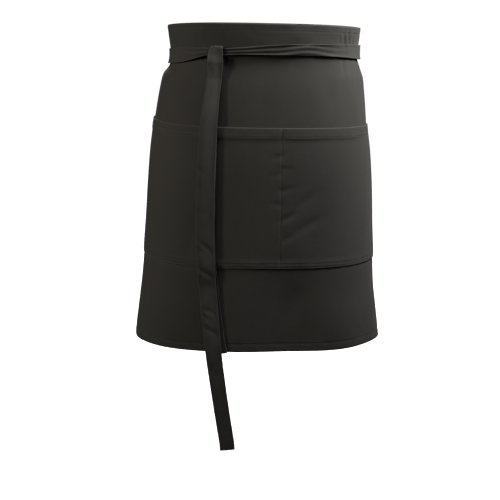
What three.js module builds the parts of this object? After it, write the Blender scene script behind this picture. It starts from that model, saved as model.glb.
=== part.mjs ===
// A waist apron in its worn shape: a wide panel under a folded waistband, one
// divided pocket panel across its front, and two long ties of the same cloth
// that pass each other behind the waist and are knotted once in front.
//
// Millimetres, +Z up, front towards -Y. The origin is the centre of the waist at
// the height of the ties.

import * as THREE from "three";
import { mergeVertices } from "three/addons/utils/BufferGeometryUtils.js";

// The waist that the apron is worn round
const waistWidth = 300;
const waistFront = 112;
const waistBack = 113;

// Cloth, one layer and two, and the clearance between pieces that touch
const clothWall = 1.0;
const hemWall = 2.0;
const seamGap = 0.4;

// Panel, flat
const panelWidth = 500;
const panelShift = -35;
const apronLength = 490;
const hemDepth = 12;
const sideHem = 10;
const foldDepth = 4;

// Waistband
const bandHeight = 42;
const bandOverlap = 12;
const topRise = 40;

// Pocket
const pocketDrop = 155;
const pocketHeight = 210;
const pocketHem = 14;
const pocketInset = 1;
const dividerPlace = 55;
const pocketEase = 2.0;

// Ties
const tieWidth = 25;
const tieWall = 1.5;
const tieGap = 0.7;
const tieSeam = 14;
const longTailEnd = 643;
const shortTailEnd = 495;

// Knot
const knotPlace = -85;
const knotDrop = 43;
const knotWidth = 9;
const knotWall = 2.2;
const knotGap = 0.5;
const knotTurn = 5.2;

// Spacing of the facets
const acrossStep = 18;
const downStep = 24;
const tieStep = 10;
const columnStep = 5;
const quarterTurns = 64;

// Body sections down the apron: drop from the top edge as a share of the apron's
// length, half width and front depth as shares of the waist's, and how square the
// section is, where 2 is an ellipse.
const sections = [
  { drop: 0.0, side: 1.0, front: 1.0, square: 2.4 },
  { drop: 0.08, side: 0.965, front: 0.985, square: 2.4 },
  { drop: 0.125, side: 0.993, front: 0.99, square: 2.4 },
  { drop: 0.165, side: 1.04, front: 1.015, square: 2.4 },
  { drop: 0.2, side: 1.063, front: 1.04, square: 2.4 },
  { drop: 0.26, side: 1.092, front: 1.07, square: 2.45 },
  { drop: 0.32, side: 1.113, front: 1.095, square: 2.5 },
  { drop: 0.41, side: 1.15, front: 1.125, square: 2.5 },
  { drop: 0.53, side: 1.18, front: 1.15, square: 2.55 },
  { drop: 0.65, side: 1.197, front: 1.17, square: 2.6 },
  { drop: 0.74, side: 1.214, front: 1.185, square: 2.7 },
  { drop: 0.83, side: 1.234, front: 1.2, square: 2.8 },
  { drop: 0.9, side: 1.26, front: 1.215, square: 3.0 },
  { drop: 1.0, side: 1.3, front: 1.235, square: 3.2 },
];

// Soft folds of the panel: place and half width across as shares of half the
// panel's width, the drop where each fold starts, and its height as a share of
// the fold depth, outwards positive.
const folds = [
  { at: -0.86, spread: 0.13, start: 0.5, height: 1.3 },
  { at: -0.56, spread: 0.16, start: 0.62, height: -0.6 },
  { at: -0.18, spread: 0.17, start: 0.55, height: 0.45 },
  { at: 0.13, spread: 0.12, start: 0.6, height: -0.7 },
  { at: 0.44, spread: 0.15, start: 0.55, height: 0.6 },
  { at: 0.66, spread: 0.1, start: 0.66, height: -0.5 },
  { at: 0.88, spread: 0.12, start: 0.5, height: -0.4 },
];

// Ties round the waist: turn is 0 at the front's centre and 1 or -1 at the
// back's, drop is a share of the band's height, width one of the tie's width,
// and layer counts the ties that this one lies on.
const longRound = [
  { turn: -0.275, drop: 1.06, width: 0.72, layer: 1.2 },
  { turn: -0.31, drop: 1.1, width: 0.95, layer: 0.25 },
  { turn: -0.36, drop: 1.12, width: 1.0, layer: 0 },
  { turn: -0.45, drop: 1.11, width: 1.0, layer: 0 },
  { turn: -0.54, drop: 1.1, width: 1.0, layer: 0.6 },
  { turn: -0.6, drop: 1.08, width: 1.0, layer: 1 },
  { turn: -0.8, drop: 0.9, width: 1.0, layer: 1 },
  { turn: -1.0, drop: 0.62, width: 1.0, layer: 1 },
  { turn: -1.1, drop: 0.36, width: 1.0, layer: 1 },
  { turn: -1.2, drop: 0.26, width: 1.0, layer: 0.5 },
  { turn: -1.3, drop: 0.34, width: 1.0, layer: 0 },
];
const shortRound = [
  { turn: -0.108, drop: 0.96, width: 0.46, layer: 0.4 },
  { turn: 0.02, drop: 0.94, width: 0.5, layer: 0 },
  { turn: 0.19, drop: 0.9, width: 0.6, layer: 0 },
  { turn: 0.25, drop: 0.83, width: 0.75, layer: 0 },
  { turn: 0.3, drop: 0.8, width: 0.9, layer: 0 },
  { turn: 0.36, drop: 0.79, width: 1.0, layer: 0 },
  { turn: 0.42, drop: 0.79, width: 1.0, layer: 0.7 },
  { turn: 0.46, drop: 0.8, width: 1.0, layer: 1 },
  { turn: 0.6, drop: 0.83, width: 1.0, layer: 1 },
  { turn: 0.7, drop: 0.98, width: 1.0, layer: 1 },
  { turn: 0.8, drop: 1.04, width: 1.0, layer: 0.5 },
  { turn: 0.9, drop: 0.95, width: 1.0, layer: 0 },
  { turn: 1.0, drop: 0.62, width: 1.0, layer: 0 },
  { turn: 1.2, drop: 0.5, width: 1.0, layer: 0 },
  { turn: 1.3, drop: 0.5, width: 1.0, layer: 0 },
];

// Tails down the front: drop is a share of the apron's length, across one of the
// tie's width.
const longHang = [
  { drop: 0.17, across: -3.46 },
  { drop: 0.29, across: -3.64 },
  { drop: 0.43, across: -3.74 },
  { drop: 0.53, across: -3.76 },
  { drop: 0.69, across: -3.72 },
  { drop: 0.84, across: -3.52 },
  { drop: 1.0, across: -3.2 },
  { drop: 1.15, across: -2.76 },
  { drop: 1.3, across: -2.28 },
];
const shortHang = [
  { drop: 0.19, across: -3.62 },
  { drop: 0.29, across: -3.66 },
  { drop: 0.43, across: -3.74 },
  { drop: 0.53, across: -3.76 },
  { drop: 0.69, across: -3.68 },
  { drop: 0.84, across: -3.4 },
  { drop: 0.93, across: -3.14 },
  { drop: 1.02, across: -2.82 },
];

// The ties at the knot: across and drop from its middle in knot turns, width as a
// share of the tie's width where the long tie comes up over the top, and of the
// knot's width in the other two tables.
const overKnot = [
  { across: -0.6, drop: 3.1, width: 0.84 },
  { across: -0.4, drop: 0.8, width: 0.74 },
];
const acrossKnot = [
  { across: 0, drop: 1, width: 1 },
  { across: -0.3, drop: 0.3, width: 1 },
  { across: -1, drop: 0, width: 1 },
  { across: -2.4, drop: 0, width: 1.2 },
  { across: -3.6, drop: 0, width: 1.4 },
];
const throughKnot = [
  { across: -2.25, drop: 1, width: 1 },
  { across: -1.95, drop: 0.3, width: 1 },
  { across: -1.25, drop: 0, width: 1 },
  { across: 0, drop: 0, width: 1 },
  { across: 1.7, drop: 0, width: 1 },
];

// Value of a table's column at a place, on a smooth curve through its rows.
function along(table, key, column, at) {
  const last = table.length - 1;
  const held = Math.min(Math.max(at, table[0][key]), table[last][key]);
  let row = 0;
  while (row < last - 1 && table[row + 1][key] < held) row += 1;
  const rise = (low, high) => table[high][column] - table[low][column];
  const slope = (low, high) => rise(low, high) / (table[high][key] - table[low][key]);
  const width = table[row + 1][key] - table[row][key];
  const t = (held - table[row][key]) / width;
  const start = slope(Math.max(row - 1, 0), row + 1) * width;
  const end = slope(row, Math.min(row + 2, last)) * width;
  const [from, to] = [table[row][column], table[row + 1][column]];
  const t2 = t * t;
  const t3 = t2 * t;
  const ends = (2 * t3 - 3 * t2 + 1) * from + (3 * t2 - 2 * t3) * to;
  return ends + (t3 - 2 * t2 + t) * start + (t3 - t2) * end;
}

// Smooth step from 0 to 1 between two places.
function ease(low, high, at) {
  const t = Math.min(Math.max((at - low) / (high - low), 0), 1);
  return t * t * (3 - 2 * t);
}

// Evenly spaced values from one to another, about a step apart.
function spread(from, to, step) {
  const count = Math.max(1, Math.round(Math.abs((to - from) / step)));
  return Array.from({ length: count + 1 }, (_, i) => from + ((to - from) * i) / count);
}

// Half a section from the front to the back, with the arc length at each angle.
const sectionStore = new Map();
function halfSection(drop) {
  const held = Math.min(drop, apronLength);
  if (!sectionStore.has(held)) {
    const side = along(sections, "drop", "side", held / apronLength) * (waistWidth / 2);
    const front = along(sections, "drop", "front", held / apronLength) * waistFront;
    const power = 2 / along(sections, "drop", "square", held / apronLength);
    const bulge = (share) => Math.sign(share) * Math.abs(share) ** power;
    const rows = [];
    let length = 0;
    for (let i = 0; i <= 2 * quarterTurns; i += 1) {
      const angle = (i * Math.PI) / 2 / quarterTurns;
      const depth = angle > Math.PI / 2 ? waistBack : front;
      const [x, y] = [side * bulge(Math.sin(angle)), -depth * bulge(Math.cos(angle))];
      if (i > 0) length += Math.hypot(x - rows[i - 1].x, y - rows[i - 1].y);
      rows.push({ x, y, length });
    }
    sectionStore.set(held, rows);
  }
  return sectionStore.get(held);
}

// Point of a section at an arc length from the front's centre, right positive.
function rim(across, drop) {
  const rows = halfSection(drop);
  const half = rows[rows.length - 1].length;
  const wrapped = across > half ? across - 2 * half : across < -half ? across + 2 * half : across;
  const reach = Math.abs(wrapped);
  let low = 0;
  let high = rows.length - 1;
  while (high - low > 1) {
    const middle = (low + high) >> 1;
    if (rows[middle].length <= reach) low = middle;
    else high = middle;
  }
  const t = (reach - rows[low].length) / (rows[high].length - rows[low].length);
  const x = rows[low].x + (rows[high].x - rows[low].x) * t;
  const y = rows[low].y + (rows[high].y - rows[low].y) * t;
  return { x: Math.sign(wrapped) * x, y };
}

// Height of the cloth at each step down a column. The cloth keeps its length, so
// a column that swings outwards hangs less deep.
const columnStore = new Map();
function columnHeights(across) {
  if (!columnStore.has(across)) {
    const heights = [topRise];
    let before = rim(across, 0);
    for (let drop = columnStep; drop <= 2 * apronLength; drop += columnStep) {
      const here = rim(across, drop);
      const sideways = Math.min(Math.hypot(here.x - before.x, here.y - before.y), 0.9 * columnStep);
      heights.push(heights[heights.length - 1] - Math.sqrt(columnStep ** 2 - sideways ** 2));
      before = here;
    }
    columnStore.set(across, heights);
  }
  return columnStore.get(across);
}

function onCloth(across, drop) {
  const { x, y } = rim(across, drop);
  const heights = columnHeights(across);
  const step = Math.min(Math.max(Math.floor(drop / columnStep), 0), heights.length - 2);
  const t = drop / columnStep - step;
  return new THREE.Vector3(x, y, heights[step] + (heights[step + 1] - heights[step]) * t);
}

// Height of the folds above the plain surface.
function foldAt(across, drop) {
  return folds.reduce((sum, fold) => {
    const away = (across / (panelWidth / 2) - fold.at) / fold.spread;
    const grown = ease(fold.start, 1, drop / apronLength);
    return sum + fold.height * foldDepth * Math.exp(-away * away) * grown;
  }, 0);
}

// Point at an arc length across, a drop down the cloth and a distance outwards
// from the middle of the panel's wall.
function place(across, drop, out) {
  const reach = 2;
  const right = onCloth(across + reach, drop).sub(onCloth(across - reach, drop));
  const up = onCloth(across, Math.max(drop - reach, 0)).sub(onCloth(across, drop + reach));
  const outward = right.cross(up).normalize();
  return onCloth(across, drop).addScaledVector(outward, out + foldAt(across, drop));
}

// Bends every point of a closed geometry and joins the points that meet.
function bent(geometry, bend) {
  geometry.deleteAttribute("normal");
  geometry.deleteAttribute("uv");
  const closed = mergeVertices(geometry, 1e-4);
  const position = closed.attributes.position;
  for (let i = 0; i < position.count; i += 1) {
    const { x, y, z } = bend(position.getX(i), position.getY(i), position.getZ(i));
    position.setXYZ(i, x, y, z);
  }
  closed.computeVertexNormals();
  return closed;
}

// Wall of cloth over a grid of places across and drops, from an inner to an
// outer distance.
function clothWallOver(columns, rows, inner, outer) {
  const box = new THREE.BoxGeometry(1, 1, 1, columns.length - 1, rows.length - 1, 1);
  return bent(box, (x, y, z) => {
    const across = columns[Math.round((x + 0.5) * (columns.length - 1))];
    const drop = rows[Math.round((0.5 - y) * (rows.length - 1))];
    return place(across, drop, z > 0 ? outer(across, drop) : inner(across, drop));
  });
}

// Flat strap along a route of places with widths and walls. Each place says which
// way the strap's outer side faces: 0 is outwards, a quarter turn is up.
function strap(route) {
  const points = route.map((row) => new THREE.Vector3(row.across, -row.drop, row.out));
  const curve = new THREE.CatmullRomCurve3(points, false, "centripetal");
  const spans = route.length - 1;
  const stations = [];
  for (let i = 0; i < spans; i += 1) {
    const count = Math.max(1, Math.round(points[i].distanceTo(points[i + 1]) / tieStep));
    for (let k = i === 0 ? 0 : 1; k <= count; k += 1) {
      const share = k / count;
      const between = (column) => route[i][column] + (route[i + 1][column] - route[i][column]) * share;
      const at = (i + share) / spans;
      const tangent = curve.getTangent(at);
      const facing = between("facing");
      const outward = new THREE.Vector3(0, Math.sin(facing), Math.cos(facing));
      outward.addScaledVector(tangent, -outward.dot(tangent)).normalize();
      const sideways = outward.clone().cross(tangent);
      const [middle, width, wall] = [curve.getPoint(at), between("width"), between("wall")];
      stations.push({ middle, outward, sideways, width, wall });
    }
  }
  const box = new THREE.BoxGeometry(1, 1, 1, stations.length - 1, 2, 1);
  return bent(box, (x, y, z) => {
    const station = stations[Math.round((x + 0.5) * (stations.length - 1))];
    const point = station.middle.clone();
    point.addScaledVector(station.sideways, y * station.width);
    point.addScaledVector(station.outward, z * station.wall);
    return place(point.x, -point.y, point.z);
  });
}

const half = panelWidth / 2;
const leftEdge = panelShift - half;
const rightEdge = panelShift + half;
const divider = panelShift + dividerPlace;
const panelOuter = clothWall / 2;
const bandOuter = panelOuter + seamGap + clothWall;
const pocketFoot = pocketDrop + pocketHeight;
const hemRamp = 1;

// Panel: one layer, with its hem and side hems turned to the inside.
function panelGeometry() {
  const hemTop = apronLength - hemDepth;
  const inner = (across, drop) => {
    const hemmed = drop >= hemTop || Math.abs(across - panelShift) >= half - sideHem;
    return -panelOuter - (hemmed && drop >= bandHeight + hemRamp ? hemWall - clothWall : 0);
  };
  return clothWallOver(panelColumns, panelRows, inner, () => panelOuter);
}

const plain = sideHem + hemRamp;
const panelColumns = [
  leftEdge,
  leftEdge + sideHem,
  ...spread(leftEdge + plain, divider, acrossStep),
  ...spread(divider, rightEdge - plain, acrossStep).slice(1),
  rightEdge - sideHem,
  rightEdge,
];
const hemStart = apronLength - hemDepth - hemRamp;
const pocketRows = [
  pocketDrop,
  pocketDrop + pocketHem,
  ...spread(pocketDrop + pocketHem + hemRamp, pocketFoot, downStep),
];
const panelRows = [
  bandHeight - bandOverlap,
  bandHeight,
  ...spread(bandHeight + hemRamp, pocketDrop, downStep).slice(0, -1),
  ...pocketRows,
  ...spread(pocketFoot, hemStart, downStep).slice(1),
  hemStart + hemRamp,
  apronLength,
];

// Pocket: it is sewn down at its sides, its foot and the divider, and stands a
// little proud between them, most at its mouth.
function pocketStand(across, drop) {
  const edges = [leftEdge + pocketInset, divider, rightEdge - pocketInset];
  const [from, to] = across < divider ? edges.slice(0, 2) : edges.slice(1);
  const between = Math.sin((Math.PI * (across - from)) / (to - from));
  const above = 1 - ease(pocketDrop, pocketFoot, drop);
  return panelOuter + seamGap + pocketEase * Math.max(between, 0) * above;
}

function pocketGeometry() {
  const columns = [...panelColumns];
  columns[0] += pocketInset;
  columns[columns.length - 1] -= pocketInset;
  const wall = (drop) => (drop <= pocketDrop + pocketHem ? hemWall : clothWall);
  const outer = (across, drop) => pocketStand(across, drop) + wall(drop);
  return clothWallOver(columns, pocketRows, pocketStand, outer);
}

// Waistband: one strip folded over the panel's top edge.
function bandGeometry() {
  const slotTop = -(bandHeight - bandOverlap - seamGap);
  const slotHalf = bandOuter - clothWall;
  const drops = spread(bandHeight, 0, bandHeight / 3);
  const profile = new THREE.Shape([
    new THREE.Vector2(-bandHeight, slotHalf),
    ...drops.map((drop) => new THREE.Vector2(-drop, bandOuter)),
    ...drops.reverse().map((drop) => new THREE.Vector2(-drop, -bandOuter)),
    new THREE.Vector2(-bandHeight, -slotHalf),
    new THREE.Vector2(slotTop, -slotHalf),
    new THREE.Vector2(slotTop, slotHalf),
  ]);
  const steps = panelColumns.length - 1;
  const strip = new THREE.ExtrudeGeometry(profile, { steps, depth: steps, bevelEnabled: false });
  return bent(strip, (x, y, z) => place(panelColumns[Math.round(z)], -x, y));
}

// Half the way round the waist at the height of the ties
const halfRound = halfSection(topRise).at(-1).length;

// Distances outwards of the layers at the knot, each on the one before
const restOut = bandOuter + tieGap + tieWall / 2;
const layerStep = tieWall + tieGap;
const throughOut = restOut + tieWall / 2 + knotGap + knotWall / 2;
const crossingOut = throughOut + knotWall / 2 + knotGap + tieWall / 2;
const hangOut = crossingOut + tieWall + knotGap;

// Outermost face of the panel and pocket at a drop, as a tail lies over it.
function faceOut(drop) {
  const mouth = ease(pocketDrop - 2 * pocketHem, pocketDrop - pocketHem / 2, drop);
  const foot = ease(pocketFoot + pocketHem / 2, pocketFoot + 2 * pocketHem, drop);
  const proud = pocketEase * (1 - ease(pocketDrop + 2 * pocketHem, pocketFoot, drop));
  return panelOuter + mouth * (1 - foot) * (seamGap + proud + hemWall);
}

// Places of a tie round the waist, up to its seam on the band's end.
function roundWaist(table, facing) {
  const last = table.at(-1);
  const bandEnd = last.turn > 0 ? -leftEdge : rightEdge;
  const seam = { ...last, turn: Math.sign(last.turn) * (2 - (bandEnd - tieSeam) / halfRound) };
  return [...table, seam].map((row) => ({
    across: row.turn * halfRound,
    drop: row.drop * bandHeight,
    out: restOut + row.layer * layerStep,
    width: row.width * tieWidth,
    wall: tieWall,
    facing,
  }));
}

// Places of a tail, from its free end up.
function hang(table, end, lift) {
  const top = table[0].drop * apronLength;
  return spread(end, top, tieStep).map((drop) => ({
    across: along(table, "drop", "across", drop / apronLength) * tieWidth,
    drop,
    out: faceOut(drop) + tieGap + tieWall / 2 + lift,
    width: tieWidth,
    wall: tieWall,
    facing: 0,
  }));
}

// Place of a tie at the knot, facing outwards plus a number of half turns.
function atKnot(across, drop, out, width, halfTurns) {
  return { across, drop, out, width, wall: tieWall, facing: halfTurns * Math.PI };
}

// Places of a tie along one of the knot's tables.
function throughTurns(table, out, whole, wall, halfTurns) {
  return table.map((row) => ({
    across: knotPlace + row.across * knotTurn,
    drop: knotDrop + row.drop * knotTurn,
    out,
    width: row.width * whole,
    wall,
    facing: halfTurns * Math.PI,
  }));
}

// Half circle in a plane square to the waist, from one distance out to another,
// over the top of something or under its foot.
function foldOver(across, drop, from, to, direction, width) {
  const middle = (from + to) / 2;
  const radius = Math.abs(to - from) / 2;
  return [0.25, 0.5, 0.75].map((share) => ({
    across,
    drop: drop - direction * radius * Math.sin(share * Math.PI),
    out: middle + (from - middle) * Math.cos(share * Math.PI),
    width,
    wall: tieWall,
    facing: Math.PI * (share + (direction > 0 ? 0 : 1)),
  }));
}

// Long tie: from its tail up over the knot, down behind the short tie, up in
// front of it, and off to the left round the waist to the band's right end.
function longTie() {
  const knotTop = knotDrop - knotWidth / 2 - knotGap;
  const knotFoot = knotDrop + knotTurn;
  return [
    ...hang(longHang, longTailEnd, layerStep + tieGap),
    ...throughTurns(overKnot, hangOut, tieWidth, tieWall, 0),
    atKnot(knotPlace - knotGap, knotTop, hangOut, 0.66 * tieWidth, 0),
    ...foldOver(knotPlace, knotTop, hangOut, restOut, 1, 0.6 * tieWidth),
    atKnot(knotPlace, knotTop, restOut, 0.5 * tieWidth, 1),
    atKnot(knotPlace, knotDrop, restOut, 0.44 * tieWidth, 1),
    atKnot(knotPlace, knotFoot, restOut, knotWidth, 1),
    ...foldOver(knotPlace, knotFoot, restOut, crossingOut, -1, knotWidth),
    ...throughTurns(acrossKnot, crossingOut, knotWidth, tieWall, 2),
    ...roundWaist(longRound, 2 * Math.PI),
  ];
}

// Short tie: from its tail up, through the long tie's loop, and off to the right
// round the waist to the band's left end.
function shortTie() {
  return [
    ...hang(shortHang, shortTailEnd, 0),
    ...throughTurns(throughKnot, throughOut, knotWidth, knotWall, 0),
    ...roundWaist(shortRound, 0),
  ];
}

const cloth = new THREE.MeshStandardMaterial({ color: 0x2e2b27, roughness: 0.9, metalness: 0 });
const tieCloth = new THREE.MeshStandardMaterial({ color: 0x302d29, roughness: 0.88, metalness: 0 });

const apron = new THREE.Group();
function add(name, geometry, material) {
  const mesh = new THREE.Mesh(geometry, material);
  mesh.name = name;
  apron.add(mesh);
}

add("panel", panelGeometry(), cloth);
add("waistband", bandGeometry(), cloth);
add("pocket", pocketGeometry(), cloth);
add("tie_long", strap(longTie()), tieCloth);
add("tie_short", strap(shortTie()), tieCloth);

export default apron;
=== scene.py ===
"""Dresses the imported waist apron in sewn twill: panel, waistband, pocket, ties, stitching and stage.

Metres, +Z up, front towards -Y. Places on the cloth are an arc length across the waist, right
positive, a drop down the cloth from the top edge, and a distance outwards from the panel.
"""

import math

import bmesh
import bpy
import numpy as np
from mathutils import Matrix, Vector


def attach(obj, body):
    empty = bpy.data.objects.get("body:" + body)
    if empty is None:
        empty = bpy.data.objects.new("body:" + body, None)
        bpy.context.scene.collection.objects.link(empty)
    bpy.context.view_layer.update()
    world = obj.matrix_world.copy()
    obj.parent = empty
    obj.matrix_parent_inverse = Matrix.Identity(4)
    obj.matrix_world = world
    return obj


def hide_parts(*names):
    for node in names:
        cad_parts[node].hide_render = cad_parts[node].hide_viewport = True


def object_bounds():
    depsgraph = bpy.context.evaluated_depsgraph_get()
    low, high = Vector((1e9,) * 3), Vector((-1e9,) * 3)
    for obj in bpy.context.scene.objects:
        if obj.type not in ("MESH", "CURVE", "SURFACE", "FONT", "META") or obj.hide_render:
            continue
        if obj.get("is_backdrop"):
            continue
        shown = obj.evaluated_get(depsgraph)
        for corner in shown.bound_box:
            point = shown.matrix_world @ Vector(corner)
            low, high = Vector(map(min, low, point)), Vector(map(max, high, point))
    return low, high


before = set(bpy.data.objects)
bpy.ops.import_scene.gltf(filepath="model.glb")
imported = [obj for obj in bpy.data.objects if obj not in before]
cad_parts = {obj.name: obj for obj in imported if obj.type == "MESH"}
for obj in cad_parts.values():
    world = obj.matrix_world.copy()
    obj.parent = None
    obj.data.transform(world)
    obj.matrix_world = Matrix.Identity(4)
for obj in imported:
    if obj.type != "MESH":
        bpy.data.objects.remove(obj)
cad_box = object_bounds()

bl_info = {
    "name": "Waist apron",
    "version": (1, 0, 0),
    "blender": (4, 5, 0),
    "location": "3D View > Sidebar > Apron",
    "description": "Builds a knotted waist apron of dark twill with its stitching",
    "category": "Object",
}


def table(names, rows):
    """Columns of a table, by name."""
    return dict(zip(names.split(), np.array(rows, float).T))


# Body sections down the apron: drop as a share of its length, half width and front depth as
# shares of the waist's, how square the section is, where 2 is an ellipse, and how far it is
# shifted to the right in millimetres
SECTIONS = table("drop side front square shift", [
    (0.0, 1.0, 1.0, 2.4, 3),
    (0.08, 0.965, 0.985, 2.4, 3.5),
    (0.125, 0.993, 0.99, 2.4, 5),
    (0.165, 1.045, 1.015, 2.4, 3),
    (0.2, 1.066, 1.04, 2.4, 2),
    (0.26, 1.092, 1.07, 2.45, 1),
    (0.32, 1.113, 1.095, 2.5, 0),
    (0.41, 1.15, 1.125, 2.5, 0),
    (0.53, 1.18, 1.15, 2.55, 0),
    (0.65, 1.197, 1.17, 2.6, 0),
    (0.74, 1.214, 1.185, 2.7, 0),
    (0.83, 1.234, 1.2, 2.8, 0),
    (0.9, 1.26, 1.215, 3.0, 0),
    (1.0, 1.3, 1.235, 3.2, 0),
])

# Soft folds of the panel: place and half width as shares of half its width, the drop where each
# starts, and its height as a share of the fold depth, outwards positive
FOLDS = table("at spread start height", [
    (-0.86, 0.13, 0.5, 1.3),
    (-0.56, 0.16, 0.62, -0.6),
    (-0.18, 0.17, 0.55, 0.45),
    (0.13, 0.12, 0.6, -0.7),
    (0.44, 0.15, 0.55, 0.6),
    (0.66, 0.1, 0.66, -0.5),
    (0.88, 0.12, 0.5, -0.4),
])

# Creases in all the cloth at a place, in millimetres: middle, half length, half width, height,
# and how far the crease leans from upright in degrees, clockwise as seen from the front
CREASES = table("across drop length width height lean", [
    (119, 20, 9, 2.6, -2.2, 4),
    (125, 20, 10, 2.6, 1.2, -2),
    (130, 19, 10, 2.8, -2.4, -5),
    (110, 24, 8, 2.6, -1.0, 0),
    (142, 24, 12, 3.0, -1.2, 3),
    (117, 64, 11, 2.6, -1.8, 3),
    (134, 68, 13, 3.0, -0.8, -6),
    (36, 26, 5, 1.6, -0.5, 0),
    (60, 300, 26, 7.0, -1.0, 62),
    (58, 262, 22, 6.0, -0.8, 56),
    (40, 420, 40, 14.0, -1.4, 20),
    (104, 452, 44, 16.0, 1.2, 8),
    (-160, 400, 52, 15.0, 1.2, -8),
    (-120, 340, 40, 12.0, -0.8, 14),
    (140, 110, 60, 14.0, 0.8, -24),
    (-10, 110, 46, 13.0, -0.7, 12),
    (-150, 105, 50, 14.0, 0.8, 14),
    (90, 96, 40, 11.0, -0.7, -18),
    (15, 197, 10, 3.0, -0.8, 76),
    (26, 215, 11, 3.0, -0.9, 96),
    (14, 224, 10, 3.0, -0.8, 84),
    (27, 246, 12, 3.2, -0.9, 78),
    (14, 268, 10, 3.0, -0.8, 98),
    (30, 288, 16, 4.0, -1.1, 62),
    (30, 320, 15, 4.0, -0.9, 58),
])

# Ties round the waist: turn is 0 at the front's centre and 1 or -1 at the back's, drop is a share
# of the band's height, width one of the tie's width, and layer counts the ties that it lies on
LONG_ROUND = table("turn drop width layer", [
    (-0.265, 1.06, 0.6, 1.2),
    (-0.3, 1.1, 0.76, 0.3),
    (-0.35, 1.14, 0.92, 0),
    (-0.45, 1.16, 1.0, 0),
    (-0.53, 1.15, 1.0, 0),
    (-0.57, 1.14, 1.0, 0.3),
    (-0.63, 1.12, 1.0, 1),
    (-0.8, 0.94, 1.0, 1),
    (-1.0, 0.62, 1.0, 1),
    (-1.1, 0.36, 1.0, 1),
    (-1.2, 0.26, 1.0, 0.5),
    (-1.3, 0.34, 1.0, 0),
])
SHORT_ROUND = table("turn drop width layer", [
    (-0.108, 0.99, 0.42, 0.4),
    (-0.05, 0.96, 0.5, 0),
    (0.02, 0.93, 0.6, 0),
    (0.1, 0.91, 0.66, 0),
    (0.19, 0.9, 0.7, 0),
    (0.25, 0.9, 0.76, 0),
    (0.3, 0.9, 0.84, 0),
    (0.36, 0.9, 0.92, 0),
    (0.42, 0.9, 0.96, 0.7),
    (0.46, 0.89, 1.0, 1),
    (0.6, 0.89, 1.0, 1),
    (0.7, 0.98, 1.0, 1),
    (0.8, 1.04, 1.0, 0.5),
    (0.9, 0.95, 1.0, 0),
    (1.0, 0.62, 1.0, 0),
    (1.2, 0.5, 1.0, 0),
    (1.3, 0.5, 1.0, 0),
])

# Tails down the front: drop is a share of the apron's length, across and width ones of the tie's
# width, and curl one of the height that the right edge lifts
LONG_HANG = table("drop across width curl", [
    (0.17, -3.28, 0.76, 1.0),
    (0.23, -3.37, 0.8, 1.0),
    (0.29, -3.45, 0.88, 1.0),
    (0.38, -3.55, 0.95, 0.9),
    (0.53, -3.66, 1.0, 0.75),
    (0.69, -3.66, 1.0, 0.65),
    (0.84, -3.47, 1.0, 0.6),
    (1.0, -3.18, 0.96, 0.5),
    (1.15, -2.76, 0.92, 0.4),
    (1.3, -2.28, 0.9, 0.3),
])
SHORT_HANG = table("drop across width curl", [
    (0.15, -3.25, 0.45, 0),
    (0.2, -3.3, 0.6, 0),
    (0.29, -3.44, 0.8, 0),
    (0.38, -3.54, 0.92, 0),
    (0.53, -3.66, 1.0, 0),
    (0.69, -3.62, 1.0, 0),
    (0.84, -3.36, 1.0, 0),
    (0.93, -3.12, 1.0, 0),
    (1.02, -2.82, 1.0, 0),
])

# Creases across the tails: distance from the free end, place across and half length as shares of
# the width, half width and height in metres, and how steeply the crease climbs to the right
TAIL_CREASES = table("at side length width height slope", [
    (0.312, -0.1, 0.4, 0.0035, -0.0018, 0.9),
    (0.3, 0.3, 0.25, 0.003, -0.001, 0.7),
    (0.272, 0.0, 0.45, 0.0035, -0.0019, 0.7),
    (0.214, 0.1, 0.35, 0.003, -0.0014, 0.5),
    (0.2, 0.25, 0.3, 0.003, -0.0011, 0.9),
    (0.185, -0.05, 0.4, 0.0035, -0.0013, 0.6),
    (0.36, 0.3, 0.2, 0.003, -0.0006, 0.4),
    (0.42, 0.32, 0.2, 0.003, -0.0005, 0.5),
    (0.12, 0.1, 0.4, 0.004, -0.0006, 0.5),
])

# The ties at the knot: across and drop from its middle in knot turns, and width as a share of the
# tie's where the long tie comes up over the top, and of the knot's in the other two
OVER_KNOT = table("across drop width curl", [
    (-0.35, 3.1, 0.8, 1),
    (-0.2, 0.8, 0.78, 0.5),
])
ACROSS_KNOT = table("across drop width curl", [
    (0, 1, 1, 0),
    (-0.3, 0.3, 1, 0),
    (-1, 0, 1, 0),
    (-2.4, 0, 1.2, 0),
    (-3.6, 0, 1.4, 0),
])
THROUGH_KNOT = table("across drop width curl", [
    (-2.25, 1, 1, 0),
    (-1.95, 0.3, 1, 0),
    (-1.25, 0, 1, 0),
    (0, 0, 1, 0),
    (1.7, 0, 1, 0),
])


def length(name, description, default):
    """A size property in metres."""
    return bpy.props.FloatProperty(
        name=name, description=description, default=default, unit="LENGTH", subtype="DISTANCE", precision=4,
    )


def colour(name, description, default):
    """A colour property."""
    return bpy.props.FloatVectorProperty(
        name=name, description=description, default=default, subtype="COLOR", size=3, min=0, max=1,
    )


def watts(name, description, default):
    """The power of a light."""
    return bpy.props.FloatProperty(name=name, description=description, default=default, unit="POWER")


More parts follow.
